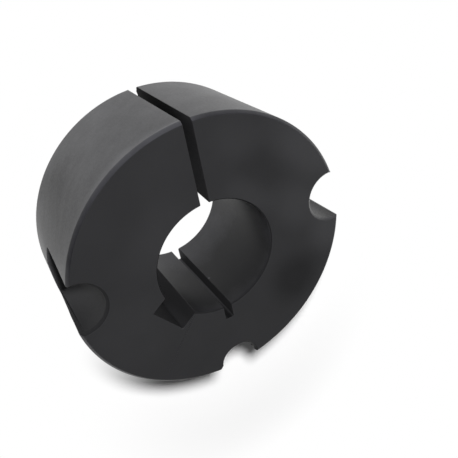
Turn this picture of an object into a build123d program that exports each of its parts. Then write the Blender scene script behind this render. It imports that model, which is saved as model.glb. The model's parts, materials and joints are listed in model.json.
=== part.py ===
from build123d import *
from math import cos, radians, sin, tan
import os

# Taper bush, 1610 series, bored 24 mm with an 8 mm keyway. It stands on its small end: the origin
# is on the axis at the small-end face, and +Z runs along the axis to the large end. Angles are
# counter-clockwise about +Z, from +X. Millimetres and degrees.

# Body
LARGE_DIAMETER = 57.15
LENGTH = 25.4
TAPER_HALF_ANGLE = 4.0
LARGE_RIM_CHAMFER = 0.6
SMALL_RIM_RADIUS = 1.0

# Bore and keyway
BORE_DIAMETER = 24.0
BORE_CHAMFER_LARGE_END = 0.3
BORE_CHAMFER_SMALL_END = 0.6
KEY_WIDTH = 8.0
KEY_DEPTH = 3.3
KEY_ANGLE = 170.8

# Split through the wall, and the relief slit opposite, past which the wall bends
SLIT_WIDTH = 1.75
SPLIT_ANGLE = 45.0
RELIEF_ANGLE = SPLIT_ANGLE + 180.0
RELIEF_DEPTH = 3.2

# Half-holes for 3/8 inch set screws, with their axes a little inside the large rim
HOLE_CIRCLE_RADIUS = 27.2
LOCKING_ANGLES = (SPLIT_ANGLE + 85.5, SPLIT_ANGLE - 85.5)
LOCKING_DIAMETER = 10.2
LOCKING_CHAMFER = 0.5
LOCKING_DEPTH = 15.0
DRILL_POINT_ANGLE = 118.0
JACKING_ANGLE = SPLIT_ANGLE + 180.3
JACKING_DIAMETER = 8.5

# How far the cutting shapes run past the faces that they open
CLEARANCE = 2.0

large_radius = LARGE_DIAMETER / 2
small_radius = large_radius - LENGTH * tan(radians(TAPER_HALF_ANGLE))
bore_radius = BORE_DIAMETER / 2
locking_radius = LOCKING_DIAMETER / 2
jacking_radius = JACKING_DIAMETER / 2
drill_point_height = locking_radius / tan(radians(DRILL_POINT_ANGLE / 2))


def hole_plane(angle):
    """Upright plane through a half-hole's axis: x points outwards and y = 0 is the large face."""
    outwards = Vector(cos(radians(angle)), sin(radians(angle)), 0)
    return Plane(
        origin=outwards * HOLE_CIRCLE_RADIUS + Vector(0, 0, LENGTH),
        x_dir=outwards,
        z_dir=outwards.cross(Vector(0, 0, 1)),
    )


with BuildPart() as taper_bush:
    # The wall of the bush in section, turned about the axis
    with BuildSketch(Plane.XZ) as wall:
        with BuildLine():
            Polyline(
                (bore_radius, BORE_CHAMFER_SMALL_END),
                (bore_radius + BORE_CHAMFER_SMALL_END, 0),
                (small_radius, 0),
                (large_radius, LENGTH),
                (bore_radius + BORE_CHAMFER_LARGE_END, LENGTH),
                (bore_radius, LENGTH - BORE_CHAMFER_LARGE_END),
                close=True,
            )
        make_face()
        fillet(wall.vertices().sort_by(Axis.X)[-2], radius=SMALL_RIM_RADIUS)
        chamfer(wall.vertices().sort_by(Axis.X)[-1], length=LARGE_RIM_CHAMFER)
    revolve(axis=Axis.Z)

    # Keyway, relief slit and split, each cut from the bore outwards along the whole length
    for angle, width, reach in (
        (KEY_ANGLE, KEY_WIDTH, bore_radius + KEY_DEPTH),
        (RELIEF_ANGLE, SLIT_WIDTH, bore_radius + RELIEF_DEPTH),
        (SPLIT_ANGLE, SLIT_WIDTH, large_radius + CLEARANCE),
    ):
        with BuildSketch(Plane.XY):
            with PolarLocations(reach, 1, start_angle=angle):
                Rectangle(reach - bore_radius / 2, width, align=(Align.MAX, Align.CENTER))
        extrude(amount=LENGTH, mode=Mode.SUBTRACT)

    # Blind half-holes for the locking screws: the hub that the bush fits has the other halves
    for angle in LOCKING_ANGLES:
        middle = hole_plane(angle)
        with BuildSketch(middle):
            with BuildLine():
                Polyline(
                    (0, CLEARANCE),
                    (locking_radius + LOCKING_CHAMFER, CLEARANCE),
                    (locking_radius + LOCKING_CHAMFER, 0),
                    (locking_radius, -LOCKING_CHAMFER),
                    (locking_radius, -LOCKING_DEPTH),
                    (0, -LOCKING_DEPTH - drill_point_height),
                    close=True,
                )
            make_face()
        revolve(axis=Axis(middle.origin, middle.y_dir), mode=Mode.SUBTRACT)

    # Half-hole for the jacking screw, right through, at the pitch diameter of its thread
    with BuildSketch(Plane.XY):
        with PolarLocations(HOLE_CIRCLE_RADIUS, 1, start_angle=JACKING_ANGLE):
            Circle(jacking_radius)
    extrude(amount=LENGTH, mode=Mode.SUBTRACT)

os.makedirs("parts", exist_ok=True)
taper_bush.part.label = "taper_bush"
export_step(taper_bush.part, "parts/taper_bush.step")
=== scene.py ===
"""Studio scene for the taper bush: its machined and phosphated surfaces, the thread of the
jacking half-hole, a white floor, soft lamps and the camera. Metres, in the bush's own frame:
the axis is Z, the small end stands on z = 0, and angles run counter-clockwise from +X.
"""

import json
import math
from contextlib import contextmanager

import bmesh
import bpy
from mathutils import Matrix, Quaternion, Vector


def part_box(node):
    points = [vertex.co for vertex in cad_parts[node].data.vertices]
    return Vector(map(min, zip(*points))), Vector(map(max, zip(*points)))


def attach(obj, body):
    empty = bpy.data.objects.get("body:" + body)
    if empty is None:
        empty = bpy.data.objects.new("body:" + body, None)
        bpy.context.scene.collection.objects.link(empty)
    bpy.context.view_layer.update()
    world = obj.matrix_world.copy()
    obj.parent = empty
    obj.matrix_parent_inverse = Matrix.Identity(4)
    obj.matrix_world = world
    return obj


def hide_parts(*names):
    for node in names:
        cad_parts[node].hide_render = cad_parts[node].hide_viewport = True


MM = 0.001

# Forms of the bush that its mounts don't state
TAPER_HALF_ANGLE = math.radians(4.0)
LARGE_RIM_CHAMFER = 0.6 * MM
SMALL_RIM_RADIUS = 1.0 * MM
BORE_CHAMFER_LARGE_END = 0.3 * MM
BORE_CHAMFER_SMALL_END = 0.6 * MM
KEY_WIDTH = 8.0 * MM
SLIT_WIDTH = 1.75 * MM
SPLIT_ANGLE = math.radians(45.0)
RELIEF_ANGLE = math.radians(225.0)
RELIEF_DEPTH = 3.2 * MM
LOCKING_CHAMFER = 0.5 * MM
DRILL_POINT_HALF_ANGLE = math.radians(59.0)

# 3/8 inch Whitworth thread: 16 turns to the inch and 0.64 of the pitch deep. A cosine gives the
# rounded crests and roots, and the last number says how far the flanks between are straightened.
THREAD_PITCH = 25.4 * MM / 16
THREAD_DEPTH = 0.640 * THREAD_PITCH
FLANK_STRAIGHTENING = 0.18
TAP_DRILL_RADIUS = 3.97 * MM

# Broken edges left by deburring, and the deeper breaks of the two lips where a hole meets the
# taper. In a blind hole the lips are broken from a little above its floor.
EDGE_BREAK = 0.12 * MM
EDGE_BREAK_STEPS = 2
LIP_START = 0.5 * MM
LIP_BREAKS = {
    "locking_hole_a": (0.35 * MM, 0.20 * MM),
    "locking_hole_b": (0.35 * MM, 0.20 * MM),
    "jacking_hole": (0.35 * MM, 0.15 * MM),
}

# Sides of the turned and drilled rounds, and steps of the small rim's arc and of a turn of thread
BODY_SIDES = 360
HOLE_SIDES = 96
RIM_STEPS = 8
THREAD_STEPS = 12

# Corners closer than this become one. Edges sharper than the first angle are broken, and edges
# sharper than the second stay sharp in the shading.
WELD_DISTANCE = 0.03 * MM
BROKEN_ANGLE = math.radians(30)
SHADED_ANGLE = math.radians(32)

# Least upright part of a face's normal: on an exactly level face, and on a turned end face. A
# bore chamfer's lies between the last two.
LEVEL_FACE = 0.999
END_FACE = 0.9
CHAMFER_FACE = (0.1, 0.95)

# How far the cutting shapes run past the faces that they open
CLEARANCE = 2.0 * MM


# ---------------------------------------------------------------------------------------------
# Mesh helpers
# ---------------------------------------------------------------------------------------------

# Faces of a box whose corners are listed round its bottom, then round its top
BOX_FACES = [(0, 1, 2, 3), (4, 5, 6, 7)] + [(i, (i + 1) % 4, (i + 1) % 4 + 4, i + 4) for i in range(4)]


@contextmanager
def editing(mesh):
    """Opens a mesh for edits, and writes them back."""
    work = bmesh.new()
    work.from_mesh(mesh)
    yield work
    work.to_mesh(mesh)
    work.free()


def new_object(name, points, faces, material):
    """Mesh object from points and faces, with its face normals pointing outwards."""
    mesh = bpy.data.meshes.new(name)
    mesh.from_pydata(points, [], faces)
    with editing(mesh) as work:
        bmesh.ops.recalc_face_normals(work, faces=work.faces)
    mesh.materials.append(material)
    made = bpy.data.objects.new(name, mesh)
    bpy.context.scene.collection.objects.link(made)
    return made


def on_circle(centre, radius, angle):
    """Point at an angle on a circle."""
    return (centre[0] + radius * math.cos(angle), centre[1] + radius * math.sin(angle))


def arc(centre, radius, start_deg, end_deg, steps):
    """Points of an arc in a (radius, height) section."""
    return [
        on_circle(centre, radius, math.radians(start_deg + (end_deg - start_deg) * i / steps))
        for i in range(steps + 1)
    ]


def lathe(name, section, sides, axis_at, material):
    """Closed (radius, height) section turned about an upright axis. A radius of 0 is on the axis."""
    points = []
    rings = []
    for radius, height in section:
        if radius == 0:
            rings.append([len(points)] * sides)
            points.append((*axis_at, height))
            continue
        rings.append(range(len(points), len(points) + sides))
        for i in range(sides):
            points.append((*on_circle(axis_at, radius, 2 * math.pi * i / sides), height))
    faces = []
    for here, there in zip(rings, rings[1:] + rings[:1]):
        for i in range(sides):
            j = (i + 1) % sides
            corners = []
            for corner in (here[i], here[j], there[j], there[i]):
                if corner not in corners:
                    corners.append(corner)
            if len(corners) > 2:
                faces.append(corners)
    return new_object(name, points, faces, material)


def slab(name, angle, near, far, width, low, high, material):
    """Box that runs outwards from the axis at an angle."""
    outwards = Vector((math.cos(angle), math.sin(angle), 0))
    across = Vector((-math.sin(angle), math.cos(angle), 0))
    points = [
        outwards * reach + across * side + Vector((0, 0, height))
        for height in (low, high)
        for reach, side in ((near, -width / 2), (far, -width / 2), (far, width / 2), (near, width / 2))
    ]
    return new_object(name, points, BOX_FACES, material)


def lip_cutter(name, cone_radius, hole_at, hole_radius, side, depth, heights, material):
    """Prism that takes the sharp lip off where an upright hole breaks through the taper.

    cone_radius gives the taper's radius at a height, and side is -1 or 1 for the hole's two lips.
    """
    circle = hole_at.length
    points = []
    for height in heights:
        radius = cone_radius(height)
        turn = math.acos((circle**2 + radius**2 - hole_radius**2) / (2 * circle * radius))
        outwards = Matrix.Rotation(side * turn, 2) @ (hole_at / circle)
        lip = outwards * radius
        away = (outwards + (hole_at - lip).normalized()).normalized()
        across = Vector((-away.y, away.x))
        for reach, offset in ((-depth, -1), (-depth, 1), (CLEARANCE, 1), (CLEARANCE, -1)):
            corner = lip + away * reach + across * offset * CLEARANCE
            points.append((*corner, height))
    return new_object(name, points, BOX_FACES, material)


def whitworth_depth(turn):
    """Depth below the crest, 0 to 1, at a part of a turn."""
    flank = abs(2 * (turn % 1.0) - 1)
    straightening = FLANK_STRAIGHTENING * math.sin(math.pi * flank) ** 2
    return 0.5 - 0.5 * math.cos(math.pi * flank) * (1.0 - straightening)


def threaded_rod(name, axis_at, low, high, outer_radius, sides, steps, material):
    """Screw with a right-hand thread, as the tap leaves its shape in the half-hole."""
    turns = int(math.ceil((high - low) / THREAD_PITCH))
    rows = turns * steps
    points = []
    for j in range(rows + steps):
        for i in range(sides):
            height = low + THREAD_PITCH * (j / steps + i / sides)
            radius = outer_radius - THREAD_DEPTH * whitworth_depth(j / steps)
            points.append((*on_circle(axis_at, radius, 2 * math.pi * i / sides), height))

    def at(i, j):
        return (j + steps * (i // sides)) * sides + i % sides

    faces = [
        (at(i, j), at(i + 1, j), at(i + 1, j + 1), at(i, j + 1))
        for j in range(rows - 1)
        for i in range(sides)
    ]
    for j, tip in ((0, low), (rows - 1, low + THREAD_PITCH * (turns + 1))):
        loop = [at(i, j) for i in range(sides)] + [at(0, j + k) for k in range(steps, 0, -1)]
        points.append((*axis_at, tip))
        faces += [(loop[k], loop[(k + 1) % len(loop)], len(points) - 1) for k in range(len(loop))]
    return new_object(name, points, faces, material)


def bake_modifiers(shape):
    """Replaces an object's mesh by what its modifiers make of it."""
    graph = bpy.context.evaluated_depsgraph_get()
    result = bpy.data.meshes.new_from_object(shape.evaluated_get(graph))
    shape.modifiers.clear()
    old = shape.data
    shape.data = result
    bpy.data.meshes.remove(old)


def cut(shape, cutter):
    """Takes the cutter out of the shape, and gives the cut the cutter's material."""
    boolean = shape.modifiers.new("cut", "BOOLEAN")
    boolean.operation = "DIFFERENCE"
    boolean.solver = "MANIFOLD"
    boolean.material_mode = "TRANSFER"
    boolean.object = cutter
    bake_modifiers(shape)
    bpy.data.objects.remove(cutter)


def weld(shape, distance):
    """Joins corners that lie closer than a distance."""
    with editing(shape.data) as work:
        bmesh.ops.remove_doubles(work, verts=work.verts, dist=distance)
        bmesh.ops.dissolve_degenerate(work, dist=distance, edges=work.edges)


def break_edges(shape, width, low, high):
    """Rounds the sharp outer edges a little, and keeps the shape between its two end faces."""
    with editing(shape.data) as work:
        weight = work.edges.layers.float.new("bevel_weight_edge")
        for edge in work.edges:
            if edge.is_manifold and edge.calc_face_angle_signed() > BROKEN_ANGLE:
                edge[weight] = 1.0
    edges = shape.modifiers.new("broken_edges", "BEVEL")
    edges.width = width
    edges.segments = EDGE_BREAK_STEPS
    edges.limit_method = "WEIGHT"
    edges.use_clamp_overlap = False
    edges.miter_outer = "MITER_ARC"
    bake_modifiers(shape)
    for corner in shape.data.vertices:
        corner.co.z = min(max(corner.co.z, low), high)


def smooth_faces(shape):
    """Smooth shading in which the large faces keep their own direction up to their edges."""
    shape.data.set_sharp_from_angle(angle=SHADED_ANGLE)
    weighted = shape.modifiers.new("face_normals", "WEIGHTED_NORMAL")
    weighted.mode = "FACE_AREA"
    weighted.weight = 100
    weighted.keep_sharp = True
    bake_modifiers(shape)
    directions = [corner.vector.copy() for corner in shape.data.corner_normals]
    for face in shape.data.polygons:
        if abs(face.normal.z) > LEVEL_FACE:
            for corner in face.loop_indices:
                directions[corner] = Vector((0, 0, math.copysign(1, face.normal.z)))
    shape.data.normals_split_custom_set(directions)


# ---------------------------------------------------------------------------------------------
# Finishes
# ---------------------------------------------------------------------------------------------

# Noise scales are per metre. The runs are stretched by their length.
CLOUD_SCALE = 120.0
GRAIN_SCALE = 2600.0
GRAIN_DEPTH = 3.0e-6
GRAIN_ROUGHNESS = 0.06
RUN_DIRECTION = (0.845, 0.271, -0.460)
RUN_SCALE = 420.0
RUN_LENGTH = 7.0
FEED = 0.2 * MM
MARK_DEPTH = 0.4e-6
DRILL_FEED = 0.9 * MM
DRILL_MARK_DEPTH = 8e-6
IRON_IOR = 1.35
COAT_IOR = 1.6

# Part of a patch's half size within which it is full
PATCH_CORE = 0.2

# Lighter and darker patches: (centre in mm, half sizes in mm, change of tone). The tone also sets the
# gloss, and the patches marked below are painted light or painted shade.
FACE_PATCHES = (
    ((19.0, 1.0, 25.4), (6.0, 8.0, 4.0), -0.09),
    ((2.0, -21.0, 25.4), (8.5, 8.5, 4.0), -0.28),
    ((16.0, -11.0, 25.4), (7.0, 10.0, 4.0), 0.24),
    ((21.5, 10.0, 25.4), (6.0, 7.0, 4.0), 0.10),
    ((27.0, -7.0, 25.4), (8.0, 16.0, 4.0), 0.34),
    ((14.5, -22.5, 25.4), (7.0, 8.0, 4.0), 0.34),
    ((13.5, 1.0, 25.4), (4.5, 9.0, 4.0), 0.16),
    ((0.0, 14.0, 25.4), (13.0, 7.0, 4.0), 0.10),
    ((-20.0, 7.0, 25.4), (12.0, 11.0, 4.0), 0.09),
    ((-15.70, -1.50, 25.4), (0.25, 0.25, 0.3), 2.0),  # speck beside the keyway
)
CONE_PATCHES = (
    ((18.0, 21.5, 25.2), (6.5, 6.5, 1.2), 0.6),  # painted light on the rim beside the split
    ((-25.0, -11.0, 25.2), (14.0, 20.0, 1.4), -0.8),  # painted shade on the rim from the left half-hole to the thread, over a light line from the key lamp
    # painted shade on the left of the taper, darker and less glossy
    ((-8.0, 26.5, 12.0), (16.0, 12.0, 24.0), -0.5),
    # painted light on the taper below the large rim
    ((9.0, 26.0, 26.0), (18.0, 9.0, 4.0), 0.35),
)
BORE_PATCHES = (
    ((0.0, 0.0, 16.5), (60.0, 60.0, 14.0), -0.62),  # painted shade: darker and less glossy round the middle
    # painted light in the bore near the large end
    ((10.0, -7.0, 24.0), (6.0, 7.0, 8.0), 0.42),
    ((-7.60, -9.29, 15.07), (0.3, 0.3, 0.35), 3.0),  # speck beside the relief slit
    ((-10.8, -5.2, 14.5), (3.0, 3.0, 3.5), 0.15),
)
KEY_PATCHES = (
    ((-15.3, 2.5, 25.4), (3.0, 6.0, 16.0), 2.0),  # painted light on the floor of the keyway
)
SLIT_PATCHES = (
    # painted shade in the split
    ((20.0, 19.0, 6.0), (14.0, 14.0, 24.0), -0.6),
    # painted shade in the split near the bore
    ((8.5, 8.0, 20.0), (6.0, 6.0, 14.0), -0.22),
    ((-10.9, -10.9, 25.4), (1.4, 1.4, 12.0), -0.5),  # painted shade on the floor of the relief slit
)
HOLE_PATCHES = (
    ((0.0, 0.0, 25.4), (200.0, 200.0, 18.0), -0.43),  # darker towards the mouth
    ((-17.7, 20.7, 8.0), (60.0, 60.0, 5.0), 0.5),  # painted light at the drill point, where the key lamp's shadow falls
)


def add_node(tree, kind, inputs=None, **settings):
    """Node with its settings and its inputs. An input is a value or the output linked to it."""
    made = tree.nodes.new(kind)
    for name, value in settings.items():
        setattr(made, name, value)
    for label, value in (inputs or {}).items():
        if isinstance(value, bpy.types.NodeSocket):
            tree.links.new(value, made.inputs[label])
        else:
            made.inputs[label].default_value = value
    return made


def math_node(tree, operation, first, second=0.0, clamp=False):
    """Result of a math node on two values or outputs."""
    made = add_node(
        tree, "ShaderNodeMath", {0: first, 1: second}, operation=operation, use_clamp=clamp
    )
    return made.outputs[0]


def vector_node(tree, operation, *vectors):
    """Result of a vector math node: a number from a length, distance or dot product."""
    made = add_node(tree, "ShaderNodeVectorMath", dict(enumerate(vectors)), operation=operation)
    gives_number = operation in ("LENGTH", "DISTANCE", "DOT_PRODUCT")
    return made.outputs["Value" if gives_number else "Vector"]


def soft_step(tree, value, start, end, before, after):
    """Value that goes smoothly from one level before the start to another after the end."""
    made = add_node(
        tree,
        "ShaderNodeMapRange",
        {"Value": value, "From Min": start, "From Max": end, "To Min": before, "To Max": after},
        interpolation_type="SMOOTHSTEP",
    )
    return made.outputs["Result"]


def object_position(tree):
    return add_node(tree, "ShaderNodeTexCoord").outputs["Object"]


def new_group(name, inputs, outputs):
    """Shader node group with float or vector inputs and float outputs."""
    group = bpy.data.node_groups.new(name, "ShaderNodeTree")
    for label, value in inputs.items():
        kind = "NodeSocketVector" if isinstance(value, tuple) else "NodeSocketFloat"
        socket = group.interface.new_socket(label, in_out="INPUT", socket_type=kind)
        socket.default_value = value
    for label in outputs:
        group.interface.new_socket(label, in_out="OUTPUT", socket_type="NodeSocketFloat")
    given = group.nodes.new("NodeGroupInput").outputs
    results = group.nodes.new("NodeGroupOutput").inputs
    return group, given, results


def place_group(tree, group, **values):
    """Outputs of a group placed in a material, with its values given by name."""
    inputs = {name.replace("_", " "): value for name, value in values.items()}
    return add_node(tree, "ShaderNodeGroup", inputs, node_tree=group).outputs


def phosphate_cloud_group():
    """Soft clouding and fine crystal grain of the phosphate coat, each about 0.5."""
    group, given, results = new_group(
        "phosphate_cloud", {"Cloud Scale": CLOUD_SCALE, "Grain Scale": GRAIN_SCALE}, ("Cloud", "Grain")
    )
    at = object_position(group)
    for scale, result, detail in (("Cloud Scale", "Cloud", 3.0), ("Grain Scale", "Grain", 2.0)):
        noise = add_node(
            group,
            "ShaderNodeTexNoise",
            {"Vector": at, "Scale": given[scale], "Detail": detail, "Roughness": 0.55},
        )
        group.links.new(noise.outputs["Fac"], results[result])
    return group


def run_marks_group():
    """Faint streaks stretched along one direction."""
    group, given, results = new_group(
        "run_marks", {"Direction": RUN_DIRECTION, "Scale": RUN_SCALE, "Length": RUN_LENGTH}, ("Marks",)
    )
    at = object_position(group)
    along = vector_node(group, "DOT_PRODUCT", at, given["Direction"])
    shortening = math_node(group, "SUBTRACT", 1.0, math_node(group, "DIVIDE", 1.0, given["Length"]))
    taken = math_node(group, "MULTIPLY", along, shortening)
    stretched = vector_node(
        group, "SUBTRACT", at, vector_node(group, "MULTIPLY", given["Direction"], taken)
    )
    noise = add_node(
        group,
        "ShaderNodeTexNoise",
        {"Vector": stretched, "Scale": given["Scale"], "Detail": 3.0, "Roughness": 0.6},
    )
    group.links.new(noise.outputs["Fac"], results["Marks"])
    return group


def soft_patch_group():
    """Mask of an oval patch, 1 in its middle and 0 past its half sizes."""
    group, given, results = new_group(
        "soft_patch", {"Centre": (0.0, 0.0, 0.0), "Half Size": (5 * MM, 5 * MM, 5 * MM)}, ("Patch",)
    )
    offset = vector_node(group, "SUBTRACT", object_position(group), given["Centre"])
    share = vector_node(group, "DIVIDE", offset, given["Half Size"])
    reach = vector_node(group, "LENGTH", share)
    group.links.new(soft_step(group, reach, PATCH_CORE, 1.0, 1.0, 0.0), results["Patch"])
    return group


def tool_marks_group():
    """Height of the fine feed marks that turning, boring and drilling leave, -1 to 1."""
    group, given, results = new_group("tool_marks", {"Pitch": FEED}, ("Height",))
    at = object_position(group)
    radius = vector_node(group, "LENGTH", vector_node(group, "MULTIPLY", at, (1, 1, 0)))
    height = add_node(group, "ShaderNodeSeparateXYZ", {0: at}).outputs["Z"]
    turns = math_node(group, "DIVIDE", math_node(group, "ADD", radius, height), given["Pitch"])
    wave = math_node(group, "SINE", math_node(group, "MULTIPLY", turns, 2 * math.pi))
    group.links.new(wave, results["Height"])
    return group


class Finishes:
    """The bush's materials: one phosphate coat on the marks of each machining step, with painted light
    and shade in some of their tones and patches.
    """

    def __init__(self):
        self.cloud = phosphate_cloud_group()
        self.runs = run_marks_group()
        self.patch = soft_patch_group()
        self.tool = tool_marks_group()

    def tone(self, tree, cloud, clouding, running, graining, patches):
        """Tone from 0 to 1. Each mask moves it by its share, and each patch by its change."""
        runs = place_group(tree, self.runs, Direction=RUN_DIRECTION, Scale=RUN_SCALE, Length=RUN_LENGTH)
        tone = 0.5
        for mask, share in (
            (cloud["Cloud"], clouding),
            (runs["Marks"], running),
            (cloud["Grain"], graining),
        ):
            change = math_node(tree, "MULTIPLY", math_node(tree, "SUBTRACT", mask, 0.5), share)
            tone = math_node(tree, "ADD", change, tone)
        for centre, half_size, change in patches:
            patch = place_group(
                tree, self.patch, Centre=[c * MM for c in centre], Half_Size=[h * MM for h in half_size]
            )
            tone = math_node(tree, "ADD", math_node(tree, "MULTIPLY", patch["Patch"], change), tone)
        return math_node(tree, "MAXIMUM", math_node(tree, "MINIMUM", tone, 1.0), 0.0)

    def make(
        self,
        name,
        *,
        tones,
        gloss,
        roughness,
        clouding,
        graining,
        running=0.0,
        patches=(),
        cloud_scale=CLOUD_SCALE,
        blue=1.06,
        specular=0.5,
        feed=FEED,
        mark_depth=MARK_DEPTH,
    ):
        """Coat from a dark to a light tone, whose gloss follows the tone.

        tones and gloss are (dark, light) pairs, and blue is the ratio of blue to red and green.
        """
        material = bpy.data.materials.new(name)
        material.use_nodes = True
        tree = material.node_tree
        tree.nodes.clear()
        cloud = place_group(tree, self.cloud, Cloud_Scale=cloud_scale)
        tone = self.tone(tree, cloud, clouding, running, graining, patches)
        dark, light = ((level, level, level * blue, 1) for level in tones)
        colour = add_node(
            tree, "ShaderNodeMix", {"Factor": tone, "A": dark, "B": light}, data_type="RGBA"
        )
        coat = add_node(
            tree, "ShaderNodeMapRange", {"Value": tone, "To Min": gloss[0], "To Max": gloss[1]}
        )
        rough = add_node(
            tree,
            "ShaderNodeMapRange",
            {
                "Value": cloud["Grain"],
                "To Min": roughness + GRAIN_ROUGHNESS,
                "To Max": roughness - GRAIN_ROUGHNESS,
            },
        )
        tool = place_group(tree, self.tool, Pitch=feed)
        height = math_node(
            tree,
            "ADD",
            math_node(tree, "MULTIPLY", tool["Height"], mark_depth),
            math_node(tree, "MULTIPLY", cloud["Grain"], GRAIN_DEPTH),
        )
        bump = add_node(tree, "ShaderNodeBump", {"Strength": 1.0, "Distance": 1.0, "Height": height})
        shader = add_node(
            tree,
            "ShaderNodeBsdfPrincipled",
            {
                "Base Color": colour.outputs["Result"],
                "Roughness": rough.outputs["Result"],
                "IOR": IRON_IOR,
                "Specular IOR Level": specular,
                "Coat Weight": coat.outputs["Result"],
                "Coat Roughness": roughness,
                "Coat IOR": COAT_IOR,
                "Normal": bump.outputs["Normal"],
            },
        )
        add_node(tree, "ShaderNodeOutputMaterial", {"Surface": shader.outputs["BSDF"]})
        return material


# ---------------------------------------------------------------------------------------------
# The bush
# ---------------------------------------------------------------------------------------------


def make_finishes():
    """Materials by name."""
    finishes = Finishes()
    return {
        "tapered": finishes.make(
            "tapered_iron", tones=(0.009, 0.038), gloss=(0.02, 0.7), roughness=0.45, clouding=0.5,
            running=0.35, graining=0.2, patches=CONE_PATCHES, cloud_scale=95.0, blue=1.15,
        ),
        "faced": finishes.make(
            "faced_iron", tones=(0.006, 0.045), gloss=(0.3, 0.9), roughness=0.45, clouding=0.16,
            graining=0.08, patches=FACE_PATCHES,
        ),
        "bored": finishes.make(
            "bored_iron", tones=(0.006, 0.036), gloss=(0.0, 0.15), roughness=0.45, clouding=0.55,
            graining=0.2, patches=BORE_PATCHES, cloud_scale=220.0, blue=1.12,
        ),
        "sawn": finishes.make(
            "sawn_iron", tones=(0.006, 0.062), gloss=(0.0, 0.0), roughness=0.7, clouding=0.2,
            graining=0.2, patches=SLIT_PATCHES, specular=0.1,
        ),
        # The broached tones are darker than the faced ones, partly as painted shade in the keyway.
        "broached": finishes.make(
            "broached_iron", tones=(0.008, 0.018), gloss=(0.0, 0.0), roughness=0.7, clouding=0.2,
            graining=0.2, patches=KEY_PATCHES, specular=0.3,
        ),
        "drilled_dull": finishes.make(
            "drilled_iron_dull", tones=(0.010, 0.060), gloss=(0.0, 0.1), roughness=0.65, clouding=0.1,
            graining=0.06, patches=HOLE_PATCHES,
        ),
        "drilled": finishes.make(
            "drilled_iron", tones=(0.008, 0.018), gloss=(0.1, 0.3), roughness=0.42, clouding=0.4,
            graining=0.2, feed=DRILL_FEED, mark_depth=DRILL_MARK_DEPTH,
        ),
        "threaded": finishes.make(
            "threaded_iron", tones=(0.008, 0.018), gloss=(0.0, 0.3), roughness=0.5, clouding=0.2,
            graining=0.2,
        ),
    }


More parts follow.
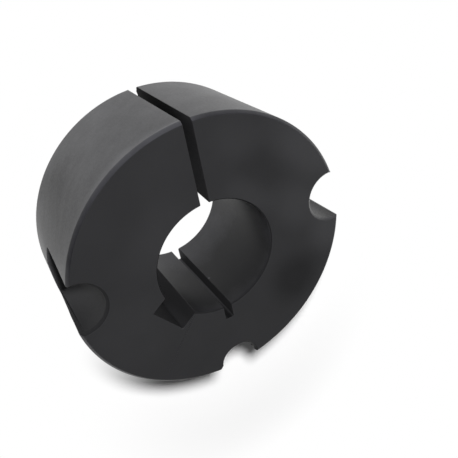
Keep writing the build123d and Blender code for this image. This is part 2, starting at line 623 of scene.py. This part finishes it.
class Bush:
    """The bush's mesh, turned and then cut as the real one is, between two heights."""

    def __init__(self, mounts, low, high):
        self.mounts = mounts
        self.low = low
        self.high = high
        self.bottom = low - CLEARANCE
        self.top = high + CLEARANCE
        self.bore = self.hole_radius("shaft_bore")
        self.large_radius = self.hole_radius("outer_taper")
        self.finishes = make_finishes()
        self.shape = lathe("bush_body", self.section(), BODY_SIDES, (0, 0), self.finishes["tapered"])
        self.cut_slots()
        self.drill("locking_hole_a", self.finishes["drilled_dull"])
        self.drill("locking_hole_b", self.finishes["drilled"])
        weld(self.shape, WELD_DISTANCE)
        break_edges(self.shape, EDGE_BREAK, low, high)
        self.tap("jacking_hole", self.finishes["threaded"])
        self.sort_faces()
        smooth_faces(self.shape)

    def hole_radius(self, mount):
        return self.mounts[mount]["dims"]["r_mm"] * MM

    def place(self, mount):
        return self.mounts[mount]["pos_m"][:2]

    def cone_radius(self, height):
        return self.large_radius - (self.high - height) * math.tan(TAPER_HALF_ANGLE)

    def section(self):
        """Section of the wall as (radius, height), from the small end round to the bore."""
        low, high, bore = self.low, self.high, self.bore
        rim_height = low + SMALL_RIM_RADIUS
        rim_middle = self.cone_radius(rim_height) - SMALL_RIM_RADIUS / math.cos(TAPER_HALF_ANGLE)
        chamfer_height = high - LARGE_RIM_CHAMFER
        return [
            (bore, low + BORE_CHAMFER_SMALL_END),
            (bore + BORE_CHAMFER_SMALL_END, low),
            *arc((rim_middle, rim_height), SMALL_RIM_RADIUS, -90, -4, RIM_STEPS),
            (self.cone_radius(chamfer_height), chamfer_height),
            (self.large_radius - LARGE_RIM_CHAMFER, high),
            (bore + BORE_CHAMFER_LARGE_END, high),
            (bore, high - BORE_CHAMFER_LARGE_END),
        ]

    def cut_slots(self):
        """Keyway, relief slit and split, each from inside the bore outwards."""
        key_at = self.place("keyway")
        relief_floor = self.bore + RELIEF_DEPTH
        outside = self.large_radius + CLEARANCE
        for name, angle, reach, width, finish in (
            ("keyway_cut", math.atan2(key_at[1], key_at[0]), math.hypot(*key_at), KEY_WIDTH, "broached"),
            ("relief_cut", RELIEF_ANGLE, relief_floor, SLIT_WIDTH, "sawn"),
            ("split_cut", SPLIT_ANGLE, outside, SLIT_WIDTH, "sawn"),
        ):
            cutter = slab(
                name, angle, self.bore / 2, reach, width, self.bottom, self.top, self.finishes[finish]
            )
            cut(self.shape, cutter)

    def break_lips(self, mount, from_height, finish):
        hole_at = Vector(self.place(mount))
        radius = self.hole_radius(mount)
        for side, depth in zip((-1, 1), LIP_BREAKS[mount]):
            name = mount + "_lip"
            heights = (from_height, self.top)
            cutter = lip_cutter(name, self.cone_radius, hole_at, radius, side, depth, heights, finish)
            cut(self.shape, cutter)

    def drill(self, mount, finish):
        """Blind half-hole with a chamfered mouth and a drill point."""
        radius = self.hole_radius(mount)
        floor = self.high - self.mounts[mount]["dims"]["length_mm"] * MM
        section = [
            (0, self.top),
            (0, floor - radius / math.tan(DRILL_POINT_HALF_ANGLE)),
            (radius, floor),
            (radius, self.high - LOCKING_CHAMFER),
            (radius + LOCKING_CHAMFER, self.high),
            (radius + LOCKING_CHAMFER, self.top),
        ]
        cut(self.shape, lathe(mount + "_cut", section, HOLE_SIDES, self.place(mount), finish))
        self.break_lips(mount, floor + LIP_START, finish)

    def tap(self, mount, finish):
        """Threaded half-hole right through: a pilot, and a screw taken out of its wall."""
        at = self.place(mount)
        low, high = self.bottom, self.top
        pilot = [(0, high), (0, low), (TAP_DRILL_RADIUS, low), (TAP_DRILL_RADIUS, high)]
        cut(self.shape, lathe("pilot_cut", pilot, HOLE_SIDES, at, finish))
        radius = self.hole_radius(mount)
        cut(self.shape, threaded_rod("tap_cut", at, low, high, radius, HOLE_SIDES, THREAD_STEPS, finish))
        self.break_lips(mount, low, finish)

    def sort_faces(self):
        """Moves the end faces, the bore and the chamfers off the taper's finish onto their own."""
        materials = self.shape.data.materials
        materials.append(self.finishes["faced"])
        materials.append(self.finishes["bored"])
        index = {name: materials.find(finish.name) for name, finish in self.finishes.items()}
        chamfer_end = self.bore + BORE_CHAMFER_LARGE_END + EDGE_BREAK
        for face in self.shape.data.polygons:
            radius = math.hypot(face.center.x, face.center.y)
            upright = face.normal.z
            if face.material_index == index["drilled"]:
                if face.center.z > self.high - LOCKING_CHAMFER:
                    face.material_index = index["faced"]
            elif face.material_index != index["tapered"]:
                continue
            elif radius < self.bore + EDGE_BREAK:
                face.material_index = index["bored"]
            elif radius < chamfer_end and CHAMFER_FACE[0] < upright < CHAMFER_FACE[1]:
                face.material_index = index["broached"]
            elif abs(upright) > END_FACE or radius < self.bore + BORE_CHAMFER_SMALL_END:
                face.material_index = index["faced"]


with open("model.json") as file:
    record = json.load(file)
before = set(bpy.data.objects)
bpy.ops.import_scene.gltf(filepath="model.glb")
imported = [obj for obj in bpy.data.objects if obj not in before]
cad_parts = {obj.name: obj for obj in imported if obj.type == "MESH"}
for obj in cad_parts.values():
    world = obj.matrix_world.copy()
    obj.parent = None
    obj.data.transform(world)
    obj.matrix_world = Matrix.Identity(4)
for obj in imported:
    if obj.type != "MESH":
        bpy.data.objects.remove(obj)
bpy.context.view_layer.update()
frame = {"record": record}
mounts = {mount["name"]: mount for mount in frame["record"]["mounts"]}
low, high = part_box("taper_bush")
bush = Bush(mounts, low[2], high[2]).shape
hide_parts("taper_bush")
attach(bush, "root")


# ---------------------------------------------------------------------------------------------
# Studio
# ---------------------------------------------------------------------------------------------

CAMERA_AT = Vector((26.35, 77.89, 120.71)) * MM
CAMERA_AIM = Vector((0.785, -25.720, 12.7)) * MM
CAMERA_ROLL = math.radians(130.91)
CAMERA_LENS = 51.98
CAMERA_SHIFT = (-0.1019, 0.0687)
CAMERA_CLIP = (0.005, 20)

# The lamp stands beside the camera, so the shadows lie just below the bush in the view
KEY_SIZE = 15 * MM
KEY_POWER = 14.3
KEY_OFFSET = (8 * MM, 9.5 * MM)
FILL_DIRECTION = Vector((0.55, 0.52, 0.65))
FILL_DISTANCE = 0.6
FILL_SIZE = 0.3
FILL_POWER = 0.12

# Brightness of the walls, of the walls in a reflection, and of the ceiling, and the sines of the
# heights between which they blend
WALL_LIGHT = 0.3
MIRRORED_WALL_LIGHT = 1.0
CEILING_LIGHT = 0.05
WALL_FADE = (0.05, 0.40)

# The floor is evenly white inside the bush's footprint, and away from the middle of its shadow. This
# glow is painted light: it covers the bush's shadow there, and the shaded floor seen through the bore.
FLOOR_REACH = 3
FLOOR_BOUNCE = 0.8
FOOTPRINT = (20 * MM, 22 * MM)
SHADOW_AT = Vector((-30, -44, 0)) * MM
FAR_FLOOR = (20 * MM, 46 * MM)


def make_camera():
    data = bpy.data.cameras.new("camera")
    data.sensor_width = 36
    data.lens = CAMERA_LENS
    data.shift_x, data.shift_y = CAMERA_SHIFT
    data.clip_start, data.clip_end = CAMERA_CLIP
    camera = bpy.data.objects.new("camera", data)
    bpy.context.scene.collection.objects.link(camera)
    level = (CAMERA_AIM - CAMERA_AT).to_track_quat("-Z", "Y")
    camera.rotation_mode = "QUATERNION"
    camera.rotation_quaternion = level @ Quaternion((0, 0, 1), CAMERA_ROLL)
    camera.location = CAMERA_AT
    bpy.context.scene.camera = camera
    return camera


def make_floor():
    """White floor. Its colour is white where it is looked at, and pale where it only sheds light."""
    material = bpy.data.materials.new("floor_white")
    material.use_nodes = True
    tree = material.node_tree
    tree.nodes.clear()
    path = add_node(tree, "ShaderNodeLightPath").outputs
    straight = math_node(tree, "ADD", path["Is Camera Ray"], path["Is Glossy Ray"])
    seen = math_node(tree, "ADD", straight, path["Is Transmission Ray"], clamp=True)
    colour = add_node(
        tree,
        "ShaderNodeMix",
        {"Factor": seen, "A": (FLOOR_BOUNCE, FLOOR_BOUNCE, FLOOR_BOUNCE, 1), "B": (1, 1, 1, 1)},
        data_type="RGBA",
    )
    shaded = add_node(tree, "ShaderNodeBsdfDiffuse", {"Color": colour.outputs["Result"]})

    at = object_position(tree)
    # Painted light: the glow covers the bush's shadow inside its footprint and away from SHADOW_AT.
    footprint = soft_step(tree, vector_node(tree, "DISTANCE", at, Vector()), *FOOTPRINT, 1.0, 0.0)
    far_floor = soft_step(tree, vector_node(tree, "DISTANCE", at, SHADOW_AT), *FAR_FLOOR, 0.0, 1.0)
    even = math_node(tree, "MULTIPLY", math_node(tree, "MAXIMUM", footprint, far_floor), seen)
    glow = add_node(tree, "ShaderNodeEmission", {"Strength": 1.0})
    mix = add_node(
        tree, "ShaderNodeMixShader", {"Fac": even, 1: shaded.outputs[0], 2: glow.outputs[0]}
    )
    add_node(tree, "ShaderNodeOutputMaterial", {"Surface": mix.outputs[0]})
    far = FLOOR_REACH
    corners = [(-far, -far, 0), (far, -far, 0), (far, far, 0), (-far, far, 0)]
    new_object("floor", corners, [(0, 1, 2, 3)], material)


def make_world():
    """Pale walls all round, up to a dark ceiling. They are white where they are looked at."""
    world = bpy.data.worlds.new("studio")
    bpy.context.scene.world = world
    world.use_nodes = True
    tree = world.node_tree
    direction = add_node(tree, "ShaderNodeTexCoord").outputs["Generated"]
    height = add_node(tree, "ShaderNodeSeparateXYZ", {0: direction}).outputs["Z"]
    wall = soft_step(tree, height, *WALL_FADE, 1.0, 0.0)
    path = add_node(tree, "ShaderNodeLightPath").outputs
    mirrored = math_node(tree, "ADD", path["Is Glossy Ray"], path["Is Transmission Ray"], clamp=True)
    paler = math_node(tree, "MULTIPLY", mirrored, MIRRORED_WALL_LIGHT - WALL_LIGHT)
    rise = math_node(tree, "ADD", paler, WALL_LIGHT - CEILING_LIGHT)
    lit = math_node(tree, "ADD", math_node(tree, "MULTIPLY", rise, wall), CEILING_LIGHT)
    background = tree.nodes["Background"].inputs
    tree.links.new(math_node(tree, "MAXIMUM", lit, path["Is Camera Ray"]), background["Strength"])
    background["Color"].default_value = (1, 1, 1, 1)


def add_lamp(name, location, rotation, size, power):
    data = bpy.data.lights.new(name, "AREA")
    data.shape = "DISK"
    data.size = size
    data.energy = power
    lamp = bpy.data.objects.new(name, data)
    bpy.context.scene.collection.objects.link(lamp)
    lamp.location = location
    lamp.rotation_mode = "QUATERNION"
    lamp.rotation_quaternion = rotation
    lamp.visible_camera = False
    return lamp


def make_lamps(camera):
    """Key lamp beside the camera, whose light doesn't fade with distance, and a soft fill."""
    aim = camera.rotation_quaternion
    key_at = camera.location + aim @ Vector((*KEY_OFFSET, 0))
    key = add_lamp("key_lamp", key_at, aim, KEY_SIZE, KEY_POWER)
    key.visible_glossy = False
    key.data.use_nodes = True
    tree = key.data.node_tree
    falloff = add_node(tree, "ShaderNodeLightFalloff", {"Strength": 1.0})
    tree.links.new(falloff.outputs["Constant"], tree.nodes["Emission"].inputs["Strength"])
    towards = FILL_DIRECTION.normalized()
    aim = (-towards).to_track_quat("-Z", "Y")
    add_lamp("fill_lamp", towards * FILL_DISTANCE, aim, FILL_SIZE, FILL_POWER)


make_lamps(make_camera())
make_floor()
make_world()
bpy.context.scene.view_settings.view_transform = "Standard"
